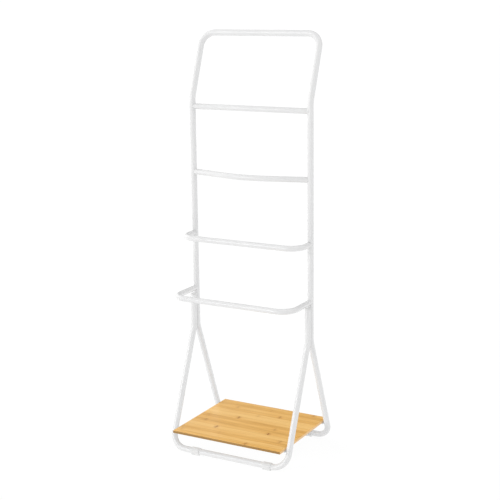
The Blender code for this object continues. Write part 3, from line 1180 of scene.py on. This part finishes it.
@dataclass
class Plugs:
    """Domed plugs in the open tops of the front leg tubes."""

    plan: Plan
    finishes: Finishes
    cap_height: float = 0.0035
    stem_radius: float = 0.0093
    dome: float = 0.75
    dome_steps: int = 6
    tip: float = 0.93
    sides: int = 48

    def build(self) -> None:
        """Make the left plug and copy it to the right."""
        low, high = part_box("leg_plug_left")
        top = Vector(((low.x + high.x) / 2, (low.y + high.y) / 2, high.z))
        stem = (high.z - self.cap_height - low.z,)
        pin = DomedPin(
            self.plan.tube_radius, self.cap_height, self.dome, self.dome_steps,
            self.stem_radius, self.tip, self.sides,
        )
        plug = pin.build("leg_plug_left_piece", top, Z_AXIS, stem)
        across = Matrix.Translation(X_AXIS * (-2 * top.x))
        twin = copied(plug, "leg_plug_right_piece", across)
        for piece, node in ((plug, "leg_plug_left"), (twin, "leg_plug_right")):
            deliver(piece, self.finishes.plastic, Slot.PLASTIC, node)


@dataclass
class FootPads:
    """Clip-on pads under the two floor rails."""

    plan: Plan
    finishes: Finishes
    pattern: str = "foot_pad_front_left"
    wall: float = 0.00225
    gap: float = 0.00005
    sides: int = 64
    sole_width: float = 0.016
    slit: float = 0.006
    slit_start: float = 0.5
    slack: float = 0.01
    sole_inset: float = 0.0005
    sole_ease: float = 0.0009
    shoulder: float = 0.0016
    edge_ease: float = 0.0003
    ease_angle: float = 50.0

    def build(self) -> None:
        """Shape one pad and copy it to the four places."""
        low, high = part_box(self.pattern)
        pattern = self.pad()
        start = Vector(((low.x + high.x) / 2, low.y + self.outer, 0.0))
        for row, label in CORNERS:
            node = f"foot_pad_{row}_{label}"
            low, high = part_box(node)
            front = row == "front"
            depth = low.y + self.outer if front else high.y - self.outer
            there = Matrix.Translation(((low.x + high.x) / 2, depth, 0.0))
            turn = Matrix.Rotation(0.0 if front else math.pi, 4, "Z")
            moved = there @ turn @ Matrix.Translation(-start)
            piece = copied(pattern, f"{node}_piece", moved)
            deliver(piece, self.finishes.plastic, Slot.PLASTIC, node)
        bpy.data.objects.remove(pattern, do_unlink=True)

    @property
    def outer(self) -> float:
        """Outside radius of a pad."""
        return self.plan.tube_radius + self.gap + self.wall

    def pad(self) -> Piece:
        """Shape the pattern pad round its rail.

        Returns:
            The pad.
        """
        low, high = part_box(self.pattern)
        depth, height = low.y + self.outer, high.z - self.outer
        left = Vector((low.x, depth, height))
        right = Vector((high.x, depth, height))
        pad = rod("pad_pattern", left, right, self.outer, self.sides)
        ease(pad, self.shoulder, segments=4, angle=self.ease_angle)
        half_sole = Y_AXIS * (self.sole_width / 2)
        inset = X_AXIS * self.sole_inset
        foot_low = Vector((low.x, depth, low.z)) - half_sole + inset
        foot = block("pad_foot", foot_low, right + half_sole - inset)
        ease(foot, self.sole_ease, segments=3)
        carve(pad, foot, Carve.ADD)
        past = X_AXIS * self.slack
        drill(pad, left - past, right + past, self.outer - self.wall, self.sides)
        slit_low = Vector((0.0, self.outer * self.slit_start, -self.slit / 2))
        slit_high = Vector((0.0, self.outer * 2, self.slit / 2))
        carve(pad, block("pad_slit", left - past + slit_low, right + past + slit_high))
        ease(pad, self.edge_ease, angle=self.ease_angle)
        face_out(pad)
        return pad


@dataclass
class Shelf:
    """The bamboo board, its welded tabs and their beads."""

    finishes: Finishes
    staves: int = 16
    layers: int = 3
    edge_round: float = 0.0012
    pilot_radius: float = 0.0024
    pilot_depth: float = 0.0006
    slack: float = 0.001
    tab_corner: float = 0.007
    tab_ease: float = 0.0003
    bead_radius: float = 0.0014
    bead_sides: int = 16
    bead_inset: float = 0.002
    bead_round: float = 0.8
    # A face whose normal's height is above this shows the board's flat side.
    flat_limit: float = 0.6
    # How strongly a joint shows on the board's edges and ends, against its faces.
    side_joint: float = 0.4
    # Each stave from the front: how far along its cane's joint is, and how dark it is.
    joints: tuple[tuple[float, float], ...] = (
        (0.077, 0.80), (-0.205, 0.35), (-0.060, 0.18), (0.178, 0.55),
        (-0.100, 0.95), (0.106, 1.00), (-0.174, 0.60), (0.108, 0.45),
        (-0.190, 0.25), (-0.072, 0.90), (0.150, 0.30), (-0.015, 0.30),
        (0.066, 0.75), (-0.130, 0.35), (0.005, 0.20), (0.173, 0.60),
    )
    # Each stave's tone, from deep at 0 to pale at 1.
    tones: tuple[float, ...] = (
        0.46, 0.70, 0.38, 0.60, 0.82, 0.55, 0.34, 0.50,
        0.30, 0.66, 0.88, 0.74, 0.42, 0.62, 0.35, 0.56,
    )

    def build(self) -> None:
        """Make the board and its tabs."""
        self.board()
        for row, label in CORNERS:
            self.tab(row, label)

    def board(self) -> None:
        """Plane the board out of one block, then mark its staves and layers."""
        low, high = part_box("shelf_board")
        board = block("shelf_board_piece", low, high)
        edit(board, everything=True)
        bpy.ops.mesh.bevel(offset=self.edge_round, segments=4, affect="EDGES")
        for axis, parts in ((Y_AXIS, self.staves), (Z_AXIS, self.layers)):
            for number in range(1, parts):
                bpy.ops.mesh.select_all(action="SELECT")
                place = low + (high - low) * number / parts
                bpy.ops.mesh.bisect(plane_co=place, plane_no=axis)
        bpy.ops.object.mode_set(mode="OBJECT")
        for row, label in CORNERS:
            screw = f"shelf_screw_{row}_{label}"
            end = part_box(screw)[1].z + self.pilot_depth
            self.pilot(board, screw, low.z - self.slack, end)
        self.mark(board)
        for dress in (self.finishes.bamboo, self.finishes.shaded_bamboo_edge, self.finishes.bamboo_end):
            board.data.materials.append(dress)
        board.visible_diffuse = False  # Its bounce light would tint the white tubes.
        deliver(board, self.finishes.bamboo, Slot.BAMBOO, "shelf_board")

    def pilot(self, piece: Piece, screw: str, start: float, end: float) -> None:
        """Drill the hole for one of the board's screws.

        Args:
            piece: The piece to drill.
            screw: The screw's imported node.
            start: Height at which the drill starts.
            end: Height at which it stops.
        """
        spot = Plan.middle(screw)
        ends = [Vector((spot.x, spot.y, height)) for height in (start, end)]
        drill(piece, *ends, self.pilot_radius)

    def mark(self, board: Piece) -> None:
        """Give every face its stave's values, its place on the stave and its finish.

        Args:
            board: The board.
        """
        low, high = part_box("shelf_board")
        mesh = board.data
        mesh.uv_layers.new(name="staves")
        names = ("stave", "knuckle", "depth")
        for name in names:
            mesh.attributes.new(name, "FLOAT", "FACE")
        chart = mesh.uv_layers["staves"]
        stave, knuckle, depth = (mesh.attributes[name] for name in names)
        width = (high.y - low.y) / self.staves
        layer = (high.z - low.z) / self.layers
        for face in mesh.polygons:
            row = min(self.staves - 1, max(0, int((face.center.y - low.y) / width)))
            bed = min(self.layers - 1, max(0, int((face.center.z - low.z) / layer)))
            grain = self.grain_of(face.normal)
            number = row
            if grain is not Grain.FLAT:
                number = (5 * bed + 2) % self.staves  # Another stave's values for each layer.
            elif face.normal.z < 0:
                number = self.staves - 1 - row
            joint, strength = self.joints[number]
            if grain is not Grain.FLAT:
                strength *= self.side_joint
            stave.data[face.index].value = self.tones[number]
            knuckle.data[face.index].value = joint
            depth.data[face.index].value = strength
            # The board's long edges take the finish with painted shade.
            face.material_index = grain.value
            for corner in face.loop_indices:
                point = mesh.vertices[mesh.loops[corner].vertex_index].co
                across = (point.y - low.y) / width - row
                if grain is Grain.EDGE:
                    across = (point.z - low.z) / layer - bed
                chart.data[corner].uv = (point.x, across)

    @staticmethod
    def grain_of(normal: Vector) -> Grain:
        """Which side of the bamboo a face shows.

        Args:
            normal: The way the face looks.

        Returns:
            Its grain.
        """
        if abs(normal.z) > Shelf.flat_limit:
            return Grain.FLAT
        return Grain.EDGE if abs(normal.y) > abs(normal.x) else Grain.END

    def tab(self, row: str, label: str) -> None:
        """A steel tab with rounded corners and a hole, and its bead on the leg.

        Args:
            row: Whether it is at the front or the rear.
            label: Which side it is on.
        """
        node = f"shelf_tab_{row}_{label}"
        low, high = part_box(node)
        inner, leg = (low.x, high.x) if SIDES[label] > 0 else (high.x, low.x)
        tab = block(f"{node}_piece", low, high)
        for y in (low.y, high.y):
            corner = Vector((inner, y))
            pick(tab, lambda point: (point.xy - corner).length < self.slack)
            bpy.ops.mesh.bevel(offset=self.tab_corner, segments=8, affect="EDGES")
        bpy.ops.object.mode_set(mode="OBJECT")
        screw = f"shelf_screw_{row}_{label}"
        self.pilot(tab, screw, high.z + self.slack, low.z - self.slack)
        ease(tab, self.tab_ease)
        deliver(tab, self.finishes.coat, Slot.POWDER_COAT, node)
        height = (low.z + high.z) / 2
        inset = self.bead_inset
        ends = [Vector((leg, y, height)) for y in (low.y + inset, high.y - inset)]
        bead = rod(f"{row}_tab_weld_{label}", *ends, self.bead_radius, self.bead_sides)
        for end in ends:
            pick(bead, lambda point: abs(point.y - end.y) < self.slack)
            bpy.ops.mesh.bevel(
                offset=self.bead_radius * self.bead_round, segments=3, affect="EDGES"
            )
        bpy.ops.object.mode_set(mode="OBJECT")
        deliver(bead, self.finishes.coat, Slot.POWDER_COAT)


@dataclass
class HiddenSteel:
    """Sleeves, end plugs and barrel nuts inside the tubes, carried over as they are."""

    finishes: Finishes

    def dress(self) -> None:
        """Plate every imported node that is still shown."""
        for name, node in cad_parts.items():
            if node.hide_render:
                continue
            node.data.materials.clear()
            node.data.materials.append(self.finishes.zinc)
            log.info("%s: carried over, %s", name, Slot.ZINC.value)


# --- Studio ---


@dataclass(frozen=True)
class SoftLight:
    """A soft light of the room: a glow round one direction, from its edge to its core."""

    aim: Triple
    edge: float  # Cosine of the angle from the aim at which the glow starts.
    core: float  # Cosine of the angle within which it is full.
    power: float


@dataclass
class Studio:
    """A pale floor, soft light from a bright room, and the camera."""

    plan: Plan
    floor_size: float = 400.0
    lens: float = 83.645
    sensor: float = 36.0
    azimuth: float = 29.2645
    elevation: float = 12.6721
    roll: float = -0.6763
    distance: float = 4.2047
    aim_x: float = -0.0065
    aim_height: float = 0.7422
    floor_glow: float = 0.88
    floor_tones: Range = (0.12, 0.14)
    room: float = 0.34
    seen_room: float = 1.3
    lights: tuple[SoftLight, ...] = (
        SoftLight((0.0, 0.0, 1.0), 0.40, 0.95, 0.44),
        SoftLight((-1.0, 0.0, 0.08), 0.45, 0.95, 1.30),
        SoftLight((0.85, 0.0, 0.53), 0.45, 0.95, 0.74),
        SoftLight((-0.48, -0.85, 0.22), 0.94, 0.99, 4.0),
    )

    def build(self) -> None:
        """Lay the floor, light the room and set the camera."""
        self.lay_floor()
        self.light_room()
        self.set_camera()
        bpy.context.scene.view_settings.view_transform = "Standard"

    def lay_floor(self) -> None:
        """A large pale floor that is no part of the stand."""
        clear()
        bpy.ops.mesh.primitive_plane_add(size=self.floor_size)
        floor = named("floor")
        recipe = Recipe(bpy.data.materials.new("pale_floor"))
        mottle = recipe.noise(recipe.place(), 3.0, 3.0)
        dark, light = ((tone,) * 3 for tone in self.floor_tones)
        colour = recipe.ramp(mottle, ((0.3, dark), (0.7, light)))
        recipe.feed(
            recipe.shader, Base_Color=colour, Roughness=0.9, Specular_IOR_Level=0.1,
            Emission_Color=(1.0, 1.0, 1.0, 1.0), Emission_Strength=self.floor_glow,
        )
        recipe.owner.cycles.emission_sampling = "NONE"
        floor.data.materials.append(recipe.owner)
        floor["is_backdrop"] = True

    def light_room(self) -> None:
        """Even light from all round, with the soft lights added to it."""
        world = bpy.data.worlds.new("room")
        bpy.context.scene.world = world
        recipe = Recipe(world, "Background")
        ray = recipe.add("TexCoord").outputs["Generated"]
        total: Socket | float = self.room
        for light in self.lights:
            nearness = recipe.add("VectorMath", operation="DOT_PRODUCT")
            recipe.feed(nearness, _0=ray, _1=light.aim)
            glow = recipe.span(
                nearness.outputs["Value"], 0.0, light.power, light.edge, light.core
            )
            total = recipe.math("ADD", glow, total)
        camera_ray = recipe.add("LightPath").outputs["Is Camera Ray"]
        seen = recipe.math("MULTIPLY", camera_ray, self.seen_room)
        strength = recipe.math("MAXIMUM", seen, total)
        recipe.feed(recipe.shader, Color=(1.0, 1.0, 1.0, 1.0), Strength=strength)

    def set_camera(self) -> None:
        """Stand the camera in front, to the right and a little above."""
        turn, rise, tilt = map(math.radians, (self.azimuth, self.elevation, self.roll))
        data = bpy.data.cameras.new("camera")
        data.lens = self.lens
        data.sensor_width = self.sensor
        data.clip_end = self.floor_size * 2
        camera = bpy.data.objects.new("camera", data)
        bpy.context.scene.collection.objects.link(camera)
        camera.matrix_world = (
            Matrix.Translation((self.aim_x, self.plan.upright_y, self.aim_height))
            @ Matrix.Rotation(turn, 4, "Z")
            @ Matrix.Rotation(math.pi / 2 - rise, 4, "X")
            @ Matrix.Rotation(tilt, 4, "Z")
            @ Matrix.Translation((0.0, 0.0, self.distance))
        )
        bpy.context.scene.camera = camera


def write_sizes() -> None:
    """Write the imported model's box and the finished stand's box."""
    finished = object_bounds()
    boxes = {"cad": CAD_BOX, "visual": finished}
    for name, (low, high) in boxes.items():
        log.info("%s box: %s", name, " x ".join(f"{size * 1000:.1f}" for size in high - low))


def main() -> None:
    """Build the stand piece by piece, then the studio round it."""
    logging.basicConfig(level=logging.INFO, format="%(name)s: %(message)s")
    plan = Plan()
    finishes = Finishes()
    Studio(plan).build()
    FrameTubes(plan, finishes).build()
    TowelBars(plan, finishes).build()
    Screws(finishes).build()
    Plugs(plan, finishes).build()
    FootPads(plan, finishes).build()
    Shelf(finishes).build()
    HiddenSteel(finishes).dress()
    clear()
    write_sizes()


if __name__ == "__main__":
    main()
